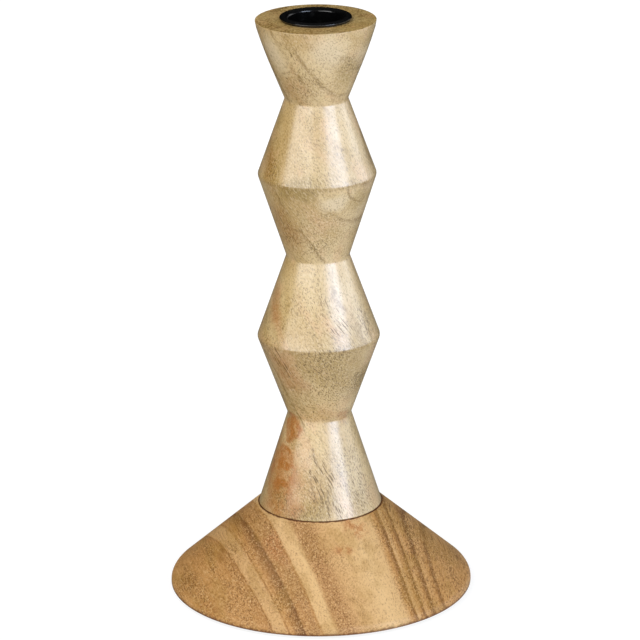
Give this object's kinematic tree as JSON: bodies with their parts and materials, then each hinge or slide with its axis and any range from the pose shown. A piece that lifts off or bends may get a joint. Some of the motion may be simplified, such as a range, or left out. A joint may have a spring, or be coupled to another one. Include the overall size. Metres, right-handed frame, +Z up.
{
  "type": "candlestick",
  "caption": "Turned wooden candlestick: a spindle of cones on a wide conical foot, with a black metal cup in its top for one dinner candle.",
  "frame": {"origin": "on the turning axis, in the plane of the undersides of the felt pads", "axes": "+Z up the turning axis to the candle, +Y away from the pictured side, +X to its right"},
  "size_m": [0.13, 0.13, 0.2528],
  "materials": {
    "foot_wood": "warm brown turned hardwood with dark growth stripes, satin lacquer",
    "stem_wood": "pale honey turned hardwood with open pores, satin lacquer",
    "cup_lacquer": "gloss black lacquer on drawn sheet steel",
    "zinc_steel": "zinc-plated steel",
    "felt": "dark pressed felt"
  },
  "bodies": {
    "root": {"foot": "foot_wood", "stem": "stem_wood", "candle_cup": "cup_lacquer", "stem_screw": "zinc_steel", "screw_washer": "zinc_steel", "felt_pad_1": "felt", "felt_pad_2": "felt", "felt_pad_3": "felt", "felt_pad_4": "felt"}
  },
  "joints": []
}
